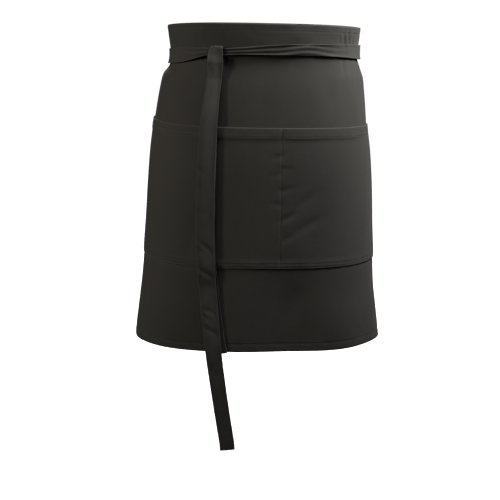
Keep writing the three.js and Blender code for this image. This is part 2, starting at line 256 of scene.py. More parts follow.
class ApronSizes(bpy.types.PropertyGroup):
    """Sizes of the waist, the panel, the band and the pocket"""

    waist_width: length("Waist width", "Width of the waist that the apron is worn round", 0.3)
    waist_front: length("Waist front", "Depth of the waist before its middle", 0.112)
    waist_back: length("Waist back", "Depth of the waist behind its middle", 0.113)
    panel_width: length("Panel width", "Finished width of the panel, flat", 0.5)
    panel_shift: length("Panel shift", "How far round the waist the panel's middle lies", -0.035)
    apron_length: length("Apron length", "Top edge to hem along the cloth", 0.49)
    hem_depth: length("Hem depth", "Depth of the turned hem at the foot", 0.012)
    side_hem: length("Side hem", "Width of the turned hems at the sides", 0.01)
    fold_depth: length("Fold depth", "Height of the panel's soft folds", 0.004)
    band_height: length("Band height", "Height of the folded waistband", 0.042)
    band_overlap: length("Band overlap", "Depth of the panel's top inside the band", 0.012)
    top_rise: length("Top rise", "Height of the top edge above the waist's middle", 0.04)
    pocket_drop: length("Pocket drop", "Top edge of the apron to the pocket's mouth", 0.155)
    pocket_height: length("Pocket height", "Mouth to foot of the pocket", 0.21)
    pocket_hem: length("Pocket hem", "Depth of the turned hem at the pocket's mouth", 0.014)
    pocket_ease: length("Pocket ease", "How far the pocket stands off between its seams", 0.0016)
    divider: length("Divider", "Stitched line that divides the pocket, from the panel's middle", 0.055)
    cloth: length("Cloth", "Thickness of one layer of twill", 0.0006)


class TieSizes(bpy.types.PropertyGroup):
    """Sizes of the ties and of their knot"""

    width: length("Tie width", "Finished width of a tie", 0.025)
    wall: length("Tie thickness", "Thickness of a tie, two layers of twill", 0.0013)
    seam: length("Tie seam", "Length of a tie that is sewn on the band", 0.014)
    long_end: length("Long tail end", "Top edge of the apron to the end of the long tail", 0.643)
    short_end: length("Short tail end", "Top edge of the apron to the end of the short tail", 0.495)
    rest: length("Rest", "Distance of a tie's middle from the panel's, where it lies on the band", 0.00335)
    layer: length("Layer", "Distance of one tie from the next", 0.0022)
    knot_across: length("Knot place", "Place of the knot across the front", -0.0798)
    knot_drop: length("Knot drop", "Top edge of the apron to the knot's middle", 0.043)
    knot_width: length("Knot width", "Width of a tie where the knot grips it", 0.009)
    knot_turn: length("Knot turn", "Distance between the turns of the knot", 0.0052)
    knot_gap: length("Knot gap", "Clearance between layers in the knot", 0.0005)
    knot_wall: length("Knot wall", "Thickness of the short tie inside the knot", 0.0022)


class ClothLook(bpy.types.PropertyGroup):
    """Colours and scale of the twill and the thread"""

    colour: colour("Cloth colour", "Dark charcoal of the twill", (0.0365, 0.0344, 0.0303))
    # The paler colour that the twill's flecks, patches and weave mix towards, like the thread's flecks, and
    # that its rubbed edges and painted highlights take
    pale_mix: colour("Worn colour", "Lighter charcoal of edges and seams", (0.085, 0.081, 0.073))
    thread: colour("Thread colour", "Colour of the stitching", (0.034, 0.032, 0.029))
    rib: length("Rib", "Distance between the diagonal ribs of the twill", 0.0011)
    yarn: length("Yarn", "Distance between yarns", 0.00042)


class StageLook(bpy.types.PropertyGroup):
    """Floor, backdrop and light"""

    paper: colour("Paper", "Pale paper of the floor and backdrop", (0.9, 0.9, 0.9))
    floor_drop: length("Floor drop", "Waist's middle to the floor", 0.615)
    key: watts("Key", "Watts of the light at the left", 17)
    rim: watts("Rim", "Watts of the light at the right", 13)
    back: watts("Back", "Watts of the light behind", 34)
    fill: watts("Fill", "Watts of the front light", 2.6)


def hermite(t, start, end, leaving, arriving):
    """A cubic from one value to another, with its slopes at both."""
    return ((2 * t**3 - 3 * t**2 + 1) * start + (3 * t**2 - 2 * t**3) * end
            + (t**3 - 2 * t**2 + t) * leaving + (t**3 - t**2) * arriving)


def along(columns, key, column, at):
    """Values of a table's column on a smooth curve through its rows."""
    keys, values = columns[key], columns[column]
    held = np.clip(at, keys[0], keys[-1])
    row = np.clip(np.searchsorted(keys, held) - 1, 0, len(keys) - 2)
    before, after = np.maximum(row - 1, 0), np.minimum(row + 2, len(keys) - 1)
    width = keys[row + 1] - keys[row]
    leaving = (values[row + 1] - values[before]) / (keys[row + 1] - keys[before]) * width
    arriving = (values[after] - values[row]) / (keys[after] - keys[row]) * width
    return hermite((held - keys[row]) / width, values[row], values[row + 1], leaving, arriving)


def ease(low, high, at):
    """Smooth step from 0 to 1 between two places."""
    t = np.clip((at - low) / (high - low), 0, 1)
    return t * t * (3 - 2 * t)


def near(at, middle, reach):
    """1 at a place, falling smoothly to nothing a few reaches away."""
    return np.exp(-(((at - middle) / reach) ** 2))


def waver(u, v, seed):
    """Smooth random heights between -1 and 1 over a plane, one hill a unit, the same on each run."""
    size = 61
    field = np.random.default_rng(seed).uniform(-1, 1, (size, size))
    column, row = np.floor(u).astype(int), np.floor(v).astype(int)
    s, t = ease(0, 1, u - column), ease(0, 1, v - row)
    corner = lambda down, right: field[(row + down) % size, (column + right) % size]
    upper = corner(0, 0) * (1 - s) + corner(0, 1) * s
    lower = corner(1, 0) * (1 - s) + corner(1, 1) * s
    return upper * (1 - t) + lower * t


def spread(start, end, step):
    """Evenly spaced values from one to another, about a step apart."""
    return np.linspace(start, end, max(2, round(abs(end - start) / step) + 1))


def joined(*parts):
    """All values of the parts in order, each once."""
    return np.unique(np.round(np.concatenate([np.atleast_1d(part) for part in parts]), 6))


def run_lengths(points):
    """Distance along a line of points, at each of them."""
    return np.concatenate([[0], np.cumsum(np.linalg.norm(np.diff(points, axis=0), axis=1))])


class WaistSurface:
    """The surface that the cloth hangs on, as a lattice of points and outward directions."""

    # Metres that the lattice covers each way, metres between its points, the largest share of such
    # a step that goes sideways and not down, facets of half a section, and height and pitches of
    # the slack cloth's waves
    reach = 0.68
    step = 0.0025
    flattest = 0.9
    half_turns = 128
    slack_height = 0.00035
    slack_across = 0.045
    slack_down = 0.07

    def __init__(self, sizes):
        self.sizes = sizes
        self.across = np.arange(-self.reach, self.reach, self.step)
        drops = np.arange(0, self.reach, self.step)
        flat = np.array([self.section(drop) for drop in drops])
        moved = np.minimum(np.hypot(*np.moveaxis(np.diff(flat, axis=0), 2, 0)), self.flattest * self.step)
        fallen = np.cumsum(np.sqrt(self.step**2 - moved**2), axis=0)
        heights = sizes.top_rise - np.vstack([np.zeros((1, len(self.across))), fallen])
        self.points = np.dstack([flat, heights])
        outward = np.cross(np.gradient(self.points, axis=1), -np.gradient(self.points, axis=0))
        self.outward = outward / np.linalg.norm(outward, axis=2, keepdims=True)

    def measure(self, column, drop):
        """A column of the sections' table at a drop."""
        return along(SECTIONS, "drop", column, min(drop / self.sizes.apron_length, 1))

    def half_section(self, drop):
        """Points of half a section from the front to the back, and the arc length of each."""
        side = self.measure("side", drop) * self.sizes.waist_width / 2
        front = self.measure("front", drop) * self.sizes.waist_front
        power = 2 / self.measure("square", drop)
        angle = np.linspace(0, math.pi, self.half_turns + 1)
        bulge = lambda share: np.sign(share) * np.abs(share) ** power
        x = side * bulge(np.sin(angle))
        y = -np.where(angle > math.pi / 2, self.sizes.waist_back, front) * bulge(np.cos(angle))
        return x, y, run_lengths(np.column_stack([x, y]))

    def section(self, drop):
        """Points of one section at every arc length from the front's centre."""
        x, y, arc = self.half_section(drop)
        wrapped = (self.across + arc[-1]) % (2 * arc[-1]) - arc[-1]
        x_here = np.sign(wrapped) * np.interp(np.abs(wrapped), arc, x) + self.measure("shift", drop) / 1000
        return np.column_stack([x_here, np.interp(np.abs(wrapped), arc, y)])

    def half_round(self):
        """Half the way round the waist at the height of the ties."""
        return self.half_section(self.sizes.top_rise)[2][-1]

    def relief(self, across, drop):
        """Height of the folds and creases above the plain surface."""
        sizes = self.sizes
        away = (across[:, None] / (sizes.panel_width / 2) - FOLDS["at"]) / FOLDS["spread"]
        grown = ease(FOLDS["start"], 1, drop[:, None] / sizes.apron_length)
        folded = (FOLDS["height"] * sizes.fold_depth * np.exp(-(away**2)) * grown).sum(axis=1)
        right = across[:, None] * 1000 - CREASES["across"]
        down = drop[:, None] * 1000 - CREASES["drop"]
        lean = np.radians(CREASES["lean"])
        lengthwise = (down * np.cos(lean) - right * np.sin(lean)) / CREASES["length"]
        sideways = (down * np.sin(lean) + right * np.cos(lean)) / CREASES["width"]
        creased = (CREASES["height"] / 1000 * np.exp(-(lengthwise**2) - sideways**2)).sum(axis=1)
        slack = self.slack_height * waver(across / self.slack_across + 7, drop / self.slack_down, 3)
        return folded + creased + slack * ease(sizes.band_height, 2 * sizes.band_height, drop)

    def at(self, across, drop, out):
        """Points at arc lengths across, drops down the cloth and distances outwards."""
        across, drop, out = (np.asarray(part, float) for part in np.broadcast_arrays(across, drop, out))
        u = (across - self.across[0]) / self.step
        v = drop / self.step
        column = np.clip(np.floor(u).astype(int), 0, len(self.across) - 2)
        row = np.clip(np.floor(v).astype(int), 0, len(self.points) - 2)
        s, t = (u - column)[:, None], (v - row)[:, None]

        def between(field):
            upper = field[row, column] * (1 - s) + field[row, column + 1] * s
            lower = field[row + 1, column] * (1 - s) + field[row + 1, column + 1] * s
            return upper * (1 - t) + lower * t

        outward = between(self.outward)
        outward /= np.linalg.norm(outward, axis=1, keepdims=True)
        return between(self.points) + outward * (out + self.relief(across, drop))[:, None]


def turned(flat, edge, radius):
    """Place and depth of cloth that folds back under itself at an edge, for its flat distances."""
    past = flat - (edge - radius)
    angle = np.clip(past / radius, 0, math.pi)
    back = np.maximum(past - math.pi * radius, 0)
    return np.minimum(flat, edge - radius) + radius * np.sin(angle) - back, radius * (1 - np.cos(angle))


def turn_stops(edge, radius, depth):
    """Flat distances of the facets round a fold and along the cloth turned under."""
    arc = edge - radius + radius * np.linspace(0, math.pi, 6)
    return np.concatenate([arc, arc[-1] + np.linspace(0.25, 1, 4) * (depth - radius)])


def object_from(bm, name):
    """A smooth object with a bmesh's faces, at the origin."""
    mesh = bpy.data.meshes.new(name)
    bm.to_mesh(mesh)
    bm.free()
    mesh.polygons.foreach_set("use_smooth", np.ones(len(mesh.polygons), bool))
    made = bpy.data.objects.new(name, mesh)
    bpy.context.scene.collection.objects.link(made)
    return made


def cloth_sheet(name, columns, rows, shape):
    """A grid bent by shape(u, v), which gives points and how much paler each is, partly from rubbing and
    partly as painted highlight, with flat UVs in metres.
    """
    bm = bmesh.new()
    bmesh.ops.create_grid(bm, x_segments=len(columns) - 1, y_segments=len(rows) - 1, size=0.5)
    made = object_from(bm, name)
    mesh = made.data
    grid = np.empty(3 * len(mesh.vertices))
    mesh.vertices.foreach_get("co", grid)
    x, y, _ = grid.reshape(-1, 3).T
    u = columns[np.rint((x + 0.5) * (len(columns) - 1)).astype(int)]
    v = rows[np.rint((0.5 - y) * (len(rows) - 1)).astype(int)]
    points, pale_mix = shape(u, v)
    mesh.vertices.foreach_set("co", points.ravel())
    corners = np.empty(len(mesh.loops), int)
    mesh.loops.foreach_get("vertex_index", corners)
    flat = mesh.uv_layers.new(name="cloth")
    flat.data.foreach_set("uv", np.column_stack([u, -v])[corners].ravel())
    # How much paler each point is: partly rubbing, partly painted highlight along edges, seam ridges and
    # pleat crests
    wear = mesh.attributes.new("wear", "FLOAT", "POINT")
    wear.data.foreach_set("value", np.clip(pale_mix, 0, 1))
    mesh.update()
    return made


def thicken(piece, thickness, levels=0):
    """Gives a sheet its thickness, half to each side, and rounds its edges."""
    wall = piece.modifiers.new("wall", "SOLIDIFY")
    wall.thickness = thickness
    wall.offset = 0
    if levels:
        round_edges = piece.modifiers.new("soft", "SUBSURF")
        round_edges.levels = levels
        round_edges.render_levels = levels


def finish_piece(piece, slot, finish, *nodes):
    """Gives a piece its finish and its body, and hides the solids that it stands for."""
    piece.data.materials.append(material(finish))
    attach(piece, "root")
    if nodes:
        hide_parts(*nodes)


def sewn_sheet(name, columns, rows, shape, wall, slot, finish, levels=0):
    """A piece of cloth in the place of the solid of its name."""
    piece = cloth_sheet(name + "_cloth", columns, rows, shape)
    thicken(piece, wall, levels)
    finish_piece(piece, slot, finish, name)
    return piece


class Signal:
    """A node's output. Arithmetic on numbers adds Math nodes."""

    def __init__(self, finish, socket):
        self.finish = finish
        self.socket = socket

    def output(self, name):
        """Another output of the same node."""
        return Signal(self.finish, self.socket.node.outputs[name])

    def math(self, operation, *values):
        """A Math node on numbers."""
        return self.finish.node("ShaderNodeMath", {"operation": operation}, dict(enumerate(values)))

    def __add__(self, other):
        return self.math("ADD", self, other)

    def __radd__(self, other):
        return self.math("ADD", other, self)

    def __mul__(self, other):
        return self.math("MULTIPLY", self, other)

    def __rmul__(self, other):
        return self.math("MULTIPLY", other, self)

    def sine(self):
        """The sine of an angle."""
        return self.math("SINE", self)

    def clamped(self):
        """Held between 0 and 1."""
        return self.finish.node("ShaderNodeClamp", {}, {"Value": self})


# Noise of the finishes: hills a metre, detail and roughness
NOISES = {
    "fleck": (900.0, 3.0, 0.7),
    "slub": (120.0, 3.0, 0.6),
    "fade": (9.0, 2.0, 0.5),
    "spun": (2500.0, 2.0, 0.6),
    "grain": (300.0, 2.0, 0.5),
}


class Finish:
    """A material or a world, built node by node."""

    def __init__(self, owner):
        self.owner = owner
        owner.use_nodes = True
        self.tree = owner.node_tree
        self.tree.nodes.clear()

    def node(self, kind, settings, values, output=0):
        """A node with its settings, then its sockets' values or links."""
        made = self.tree.nodes.new(kind)
        for name, setting in settings.items():
            setattr(made, name, setting)
        for name, value in values.items():
            if isinstance(value, Signal):
                self.tree.links.new(value.socket, made.inputs[name])
            else:
                made.inputs[name].default_value = value
        return Signal(self, made.outputs[output]) if made.outputs else None

    def object_place(self):
        """The place on the piece's own object."""
        return self.node("ShaderNodeTexCoord", {}, {}, "Object")

    def noise(self, vector, name):
        """One of the noises, between 0 and 1."""
        scale, detail, roughness = NOISES[name]
        values = {"Vector": vector, "Scale": scale, "Detail": detail, "Roughness": roughness}
        return self.node("ShaderNodeTexNoise", {}, values)

    def mix(self, factor, first, second):
        """One colour turning into another, through the Mix node's colour sockets."""
        return self.node("ShaderNodeMix", {"data_type": "RGBA"}, {0: factor, 6: first, 7: second}, 2)

    def bump(self, height, strength, distance):
        """Normals of a pattern that is raised by up to a distance in metres."""
        return self.node("ShaderNodeBump", {}, {"Strength": strength, "Distance": distance, "Height": height})

    def surface(self, values):
        """The material with a Principled shader of these values."""
        shader = self.node("ShaderNodeBsdfPrincipled", {}, values)
        self.node("ShaderNodeOutputMaterial", {}, {"Surface": shader})
        return self.owner


def twill_finish(name, look, painted_light):
    """Matt twill: diagonal ribs of crossing yarns, flecked, with paler patches, and paler at edges, seam
    ridges and pleat crests, partly from rubbing and partly as painted highlight.
    """
    finish = Finish(bpy.data.materials.new(name))
    flat = finish.node("ShaderNodeUVMap", {"uv_map": "cloth"}, {})
    across = finish.node("ShaderNodeSeparateXYZ", {}, {0: flat})
    down = across.output("Y")
    # Share of the paler colour at edges, seam ridges and pleat crests: partly rubbing, partly painted
    # highlight
    pale_mix = finish.node("ShaderNodeAttribute", {"attribute_name": "wear"}, {}, "Fac")
    rib_turn, yarn_turn = 2 * math.pi / look.rib, 2 * math.pi / look.yarn
    rib = ((across + down) * rib_turn).sine()
    weave = rib * 0.5 + (across * yarn_turn).sine() * (down * yarn_turn).sine() * 0.3
    fleck, slub, fade = (finish.noise(flat, noise) for noise in ("fleck", "slub", "fade"))
    # Paler all over for the pocket and the ties: painted light
    level = painted_light - 0.3
    lighter = fleck * 0.25 + slub * 0.16 + fade * 0.3 + level + weave * 0.05 + pale_mix * 0.5
    height = weave * 0.6 + fleck * 0.5 + slub * 0.5
    return finish.surface({
        "Base Color": finish.mix(lighter.clamped(), (*look.colour, 1), (*look.pale_mix, 1)),
        "Roughness": 0.78 + fleck * 0.12,
        "Normal": finish.bump(height, 0.35, 0.0003),
        "Specular IOR Level": 0.35,
        "Sheen Weight": 0.1,
        "Sheen Roughness": 0.45,
    })


def thread_finish(name, look):
    """Spun thread, flecked along its length."""
    finish = Finish(bpy.data.materials.new(name))
    fleck = finish.noise(finish.object_place(), "spun")
    return finish.surface({
        "Base Color": finish.mix((fleck * 0.5).clamped(), (*look.thread, 1), (*look.pale_mix, 1)),
        "Roughness": 0.55 + fleck * 0.15,
        "Normal": finish.bump(fleck, 0.4, 0.0001),
        "Specular IOR Level": 0.45,
    })


# How much paler than its plain colour the twill of each kind of piece is made: painted light that stands in
# for the brighter light on the pocket and the ties
TWILL_PAINTED_LIGHT = {"apron twill": 0, "pocket twill": 0.04, "tie twill": 0.08}


def material(name):
    """A finish by name, made the first time that it is asked for."""
    look = bpy.context.scene.cloth_look
    if name in bpy.data.materials:
        return bpy.data.materials[name]
    if name == "thread":
        return thread_finish(name, look)
    return twill_finish(name, look, TWILL_PAINTED_LIGHT[name])


# Metres: cloth turned in at the band's edges, the pocket's sides and its foot, how far the step
# down from a turned edge runs, a seam from the edge beside it, close rows beside a seam, points
# along a seam, a stitch's depth, and how far off the cloth its outward direction is taken
BAND_TURN = 0.008
SIDE_TURN = 0.009
FOOT_TURN = 0.01
STEP_DOWN = 0.003
SEAM_INSET = 0.002
SEAM_ROW = 0.001
SEAM_POINT = 0.003
SUNK = 0.0002
PROBE = 0.001

# Ripples beside a sewn line and the groove that it pulls, in metres, and how far each reaches
RIPPLE, RIPPLE_REACH = 0.0003, 0.004
GROOVE, GROOVE_REACH = 0.00035, 0.0012

# Paler lines in metres, partly from rubbing and partly painted highlight: the reach of an edge's and a
# seam's, and a ridge's distance from its seam, where a highlight is painted
EDGE_WEAR_AND_HIGHLIGHT = 0.0015
SEAM_WEAR_AND_HIGHLIGHT = 0.0012
SEAM_RIDGE = 0.0022

# Radius of a turned edge in thicknesses of the cloth, and of the pocket's flatter ones
TURN_ROUND, FLAT_ROUND = 0.8, 0.68

# Distance of the pocket's outer layer from the panel in thicknesses of the cloth, how much more
# that is over a turned edge, and the share of that at the flatter foot
POCKET_STAND, TURNED_STAND, FLAT_FOOT = 1.3, 1.6, 0.55

# How far the hem hangs below its even length in millimetres: everywhere, and more round places
EVEN_SAG = 1.5
HEM_SAG = table("across reach fall", [
    (-190, 65, 4.5),
    (-285, 28, -6),
])


class Stitching:
    """Stitches along lines of the cloth, each a thin bead, collected into one piece."""

    pitch = 0.0032
    length = 0.0025
    thread = 0.00028

    def __init__(self, surface):
        self.surface = surface
        self.bm = bmesh.new()
        self.bead = bpy.data.meshes.get("bead") or self.first_bead()

    def first_bead(self):
        """The shape of one stitch, lengthwise along X."""
        bm = bmesh.new()
        size = Matrix.Diagonal((self.length / 2, self.thread, self.thread, 1))
        bmesh.ops.create_uvsphere(bm, u_segments=6, v_segments=4, radius=1, matrix=size)
        bead = bpy.data.meshes.new("bead")
        bm.to_mesh(bead)
        bm.free()
        return bead

    def run(self, points, outward):
        """Stitches lying in the cloth along points of a seam."""
        lengths = run_lengths(points)
        for start in np.arange(self.pitch / 2, lengths[-1] - self.pitch, self.pitch):
            ends = (start, start + self.length)
            first, last = (Vector([np.interp(end, lengths, axis) for axis in points.T]) for end in ends)
            lift = Vector([np.interp(start, lengths, axis) for axis in outward.T])
            forward = (last - first).normalized()
            up = (lift - forward * forward.dot(lift)).normalized()
            turn = Matrix((forward, up.cross(forward), up)).transposed().to_4x4()
            place = Matrix.Translation((first + last) / 2) @ turn
            self.bead.transform(place)
            self.bm.from_mesh(self.bead)
            self.bead.transform(place.inverted())

    def line(self, across, drop, out):
        """Stitches along a line of places on the cloth."""
        across, drop, out = np.broadcast_arrays(across, drop, out)
        points = self.surface.at(across, drop, out)
        self.run(points, self.surface.at(across, drop, out + PROBE) - points)

    def finish(self, name, slot):
        """The stitches as a piece."""
        stitches = object_from(self.bm, name)
        finish_piece(stitches, slot, "thread")
        return stitches


def panel_edges(sizes):
    """Places of the panel's left edge, pocket divider and right edge across the front."""
    half = sizes.panel_width / 2
    return sizes.panel_shift - half, sizes.panel_shift + sizes.divider, sizes.panel_shift + half


def hem_sag(across):
    """How far the hem hangs below its even length: more towards the left, and less at its left corner."""
    falls = HEM_SAG["fall"] * near(across[:, None] * 1000, HEM_SAG["across"], HEM_SAG["reach"])
    return (EVEN_SAG + falls.sum(axis=1)) / 1000


def pucker(at, line, pitch, seed):
    """Ripples of the cloth beside a sewn line: places along it and distances from it."""
    ripples = waver(at / pitch + seed, np.zeros_like(at), seed)
    return RIPPLE * ripples * near(line, 0, RIPPLE_REACH) - GROOVE * near(line, 0, GROOVE_REACH)


def ridge(line):
    """Distance from the ridges on both sides of a seam, where a highlight is painted."""
    return np.abs(line) - SEAM_RIDGE


def wear_and_highlight_at(*places):
    """How much paler the cloth is near edges and seams, partly from rubbing and partly as painted highlight
    where they catch light: each one's distance, strength and reach.
    """
    return sum(strength * near(distance, 0, reach) for distance, strength, reach in places)


def turned_columns(half, radius, depth, step, *stops):
    """Places across a piece whose sides are turned under, with any further stops."""
    sides = turn_stops(half, radius, depth)
    single = half - 0.003
    return joined(-sides, spread(-single, single, step), *stops, sides)


def seam_rows(seam, reach):
    """Close rows beside a seam."""
    return spread(seam - reach, seam + reach, SEAM_ROW)


def over_turn(depth, inside):
    """1 over an edge turned in by a depth, easing to 0 where the cloth is single."""
    return 1 - ease(depth, depth + STEP_DOWN, inside)


def pocket_stand(sizes, across, drop):
    """Distance of the pocket's outer layer from the panel: it is sewn down round its edges."""
    across, drop = np.broadcast_arrays(across, drop)
    left, divider, right = panel_edges(sizes)
    start = np.where(across < divider, left, divider)
    end = np.where(across < divider, divider, right)
    between = np.maximum(np.sin(math.pi * (across - start) / (end - start)), 0)
    foot = sizes.pocket_drop + sizes.pocket_height
    above = 1 - ease(sizes.pocket_drop, foot, drop)
    turned_in = np.maximum.reduce([
        over_turn(FOOT_TURN, np.minimum(across - left, right - across)),
        over_turn(sizes.pocket_hem + 0.001, drop - sizes.pocket_drop),
        FLAT_FOOT * over_turn(FOOT_TURN, foot - drop),
    ])
    return (POCKET_STAND + TURNED_STAND * turned_in) * sizes.cloth + sizes.pocket_ease * between * above


class APRON_OT_panel(bpy.types.Operator):
    """Hang the panel with its turned hems"""

    bl_idname = "apron.panel"
    bl_label = "Panel"

    def execute(self, context):
        sizes = context.scene.apron_sizes
        surface = WaistSurface(sizes)
        left, _, right = panel_edges(sizes)
        half = sizes.panel_width / 2
        top = sizes.band_height - sizes.band_overlap
        foot = sizes.apron_length
        hem_line = foot - sizes.hem_depth
        side_line = sizes.side_hem - SEAM_INSET
        pocket_foot = sizes.pocket_drop + sizes.pocket_height
        radius = TURN_ROUND * sizes.cloth
        step_across, step_down = 0.0032, 0.0036
        columns = turned_columns(half, radius, sizes.side_hem, step_across)
        rows = joined(
            spread(top, foot - SEAM_INSET, step_down),
            seam_rows(hem_line, 0.003),
            turn_stops(foot, radius, sizes.hem_depth),
        )

        def shape(u, v):
            beside, inward = turned(np.abs(u), half, radius)
            across = sizes.panel_shift + np.sign(u) * beside
            drop, under = turned(v, foot, radius)
            hem_ripples = pucker(across, drop - hem_line, 0.009, 11)
            side_ripples = pucker(drop, half - side_line - beside, 0.011, 12)
            free = ease(sizes.band_height, sizes.band_height + 0.004, drop)
            sag = hem_sag(across) * ease(pocket_foot, foot, drop)
            points = surface.at(across, drop + sag, hem_ripples + side_ripples * free - inward - under)
            # Paler at the hem's fold and the side edges, along the hem seam's ridges and on a line below the
            # pocket's foot: partly rubbing, partly painted highlight
            return points, wear_and_highlight_at(
                (drop - foot, 0.5, EDGE_WEAR_AND_HIGHLIGHT),
                (beside - half, 0.4, EDGE_WEAR_AND_HIGHLIGHT),
                (ridge(drop - hem_line), 0.18, SEAM_WEAR_AND_HIGHLIGHT),
                (drop - pocket_foot - 0.004, 0.2, 0.002),
            )

        panel = sewn_sheet("panel", columns, rows, shape, sizes.cloth, "apron_cloth", "apron twill")
        sewing = Stitching(surface)
        face = sizes.cloth / 2
        span = spread(left + SEAM_INSET, right - SEAM_INSET, SEAM_POINT)
        line = hem_line + hem_sag(span) * ease(pocket_foot, foot, hem_line)
        sewing.line(span, line, face - SUNK)
        sewing.line(span[::-1], line[::-1], -face - 2 * radius)
        for across in (left + side_line, right - side_line):
            for start, end in ((sizes.band_height, sizes.pocket_drop), (pocket_foot, foot)):
                sewing.line(across, spread(start + 0.004, end - 0.003, SEAM_POINT), face - SUNK)
        stitches = sewing.finish("panel_stitches", "apron_cloth")
        return {"FINISHED"}


class APRON_OT_waistband(bpy.types.Operator):
    """Fold the waistband over the panel's top edge"""

    bl_idname = "apron.waistband"
    bl_label = "Waistband"

    def execute(self, context):
        sizes = context.scene.apron_sizes
        surface = WaistSurface(sizes)
        left, _, right = panel_edges(sizes)
        height = sizes.band_height
        top_seam, foot_seam = 0.009, height - 0.003
        swelling, limpness = 0.0006, 0.0005
        radius = TURN_ROUND * sizes.cloth
        top_radius = 2 * sizes.cloth
        half_arc = math.pi * top_radius / 2
        step_across, step_down = 0.0026, 0.0024
        fall = joined(spread(0, height - 0.001, step_down), foot_seam + np.array([-0.0015, 0, 0.0015]))
        fall = fall[fall > top_radius + 0.001]
        front = half_arc + np.concatenate([fall, turn_stops(height, radius, BAND_TURN)])
        rows = joined(-front, np.linspace(-half_arc, half_arc, 7), front)
        columns = joined(spread(left, right, step_across))

        def shape(u, v):
            run = np.maximum(np.abs(v) - half_arc, 0)
            angle = np.clip(np.abs(v) / top_radius, 0, math.pi / 2)
            drop, under = turned(run, height, radius)
            swell = swelling * ease(0, height * 0.7, drop)
            out = np.where(v < 0, -1.0, 1.0) * (top_radius * np.sin(angle) + swell - under)
            drop = np.where(np.abs(v) <= half_arc, top_radius * (1 - np.cos(angle)), drop)
            outside = ease(0, 0.002, v)
            ripples = pucker(u, drop - top_seam, 0.008, 21) + pucker(u, drop - foot_seam, 0.008, 22)
            limp = limpness * waver(u / 0.02, drop / 0.02, 23) * outside
            points = surface.at(u, drop, out + (ripples + limp) * outside)
            # Paler along the band's top fold, its foot and both sides of its top seam: partly rubbing, partly
            # painted highlight
            return points, wear_and_highlight_at(
                (drop, 0.7, EDGE_WEAR_AND_HIGHLIGHT),
                (drop - height, 0.5, SEAM_WEAR_AND_HIGHLIGHT),
                (np.abs(drop - top_seam) - 0.002, 0.4, 0.001),
            )

        band = sewn_sheet("waistband", columns, rows, shape, sizes.cloth, "apron_cloth", "apron twill")
        sewing = Stitching(surface)
        span = spread(left + SEAM_INSET, right - SEAM_INSET, SEAM_POINT)
        for drop, out in ((top_seam, top_radius + SUNK), (foot_seam, top_radius + swelling)):
            sewing.line(span, drop, out)
            sewing.line(span[::-1], drop, -out - SUNK)
        stitches = sewing.finish("waistband_stitches", "apron_cloth")
        return {"FINISHED"}


class APRON_OT_pocket(bpy.types.Operator):
    """Sew on the divided pocket"""

    bl_idname = "apron.pocket"
    bl_label = "Pocket"

    def execute(self, context):
        sizes = context.scene.apron_sizes
        surface = WaistSurface(sizes)
        left, divider, right = panel_edges(sizes)
        half = sizes.panel_width / 2 - 0.0005
        mouth = sizes.pocket_drop
        foot = mouth + sizes.pocket_height
        middle, reach = (mouth + foot) / 2, sizes.pocket_height / 2
        radius = FLAT_ROUND * sizes.cloth
        # Seams across the pocket: drop, and strength, pitch and seed of the ripples beside each
        seams = (
            (mouth + sizes.pocket_hem, 1, 0.009, 31),
            (foot - 0.0015, 1, 0.008, 32),
            (foot - 0.0065, 0.7, 0.008, 33),
        )
        step_across, step_down = 0.0034, 0.0036
        beside_divider = np.array([0, 0.001, 0.002, 0.0035, 0.005])
        divider_stops = sizes.divider + np.concatenate([-beside_divider, beside_divider])
        columns = turned_columns(half, radius, SIDE_TURN, step_across, divider_stops)
        rows = joined(
            -turn_stops(reach, radius, sizes.pocket_hem),
            spread(-reach + SEAM_INSET, reach - SEAM_INSET, step_down),
            *[seam_rows(seam - middle, 0.002) for seam, *_ in seams],
            turn_stops(reach, radius, FOOT_TURN),
        )

        def shape(u, v):
            beside, inward = turned(np.abs(u), half, radius)
            below, under = turned(np.abs(v), reach, radius)
            across = sizes.panel_shift + np.sign(u) * beside
            drop = middle + np.sign(v) * below
            out = pocket_stand(sizes, across, drop) + 1.6 * pucker(drop, across - divider, 0.013, 34)
            for seam, strength, pitch, seed in seams:
                out = out + strength * pucker(across, drop - seam, pitch, seed)
            # Paler at the pocket's mouth, foot and sides and along the ridges of the divider and the hem
            # seam: partly rubbing, partly painted highlight
            return surface.at(across, drop, out - inward - under), wear_and_highlight_at(
                (drop - mouth, 0.9, 0.0014),
                (drop - foot, 0.9, 0.0014),
                (beside - half, 0.5, EDGE_WEAR_AND_HIGHLIGHT),
                (ridge(across - divider), 0.3, SEAM_WEAR_AND_HIGHLIGHT),
                (ridge(drop - mouth - sizes.pocket_hem), 0.45, SEAM_WEAR_AND_HIGHLIGHT),
            )

        pocket = sewn_sheet("pocket", columns, rows, shape, sizes.cloth, "apron_cloth", "pocket twill")
        sewing = Stitching(surface)
        span = spread(left + 0.003, right - 0.003, SEAM_POINT)
        for seam, *_ in seams:
            sewing.line(span, seam, pocket_stand(sizes, span, seam) + SUNK / 2)
        fall = spread(mouth + 0.002, foot - 0.004, SEAM_POINT)
        for across, off in ((divider, -SUNK), (left + 0.0025, 0.0003), (right - 0.0025, 0.0003)):
            sewing.line(across, fall, pocket_stand(sizes, across, fall) + off)
        stitches = sewing.finish("pocket_stitches", "apron_cloth")
        return {"FINISHED"}


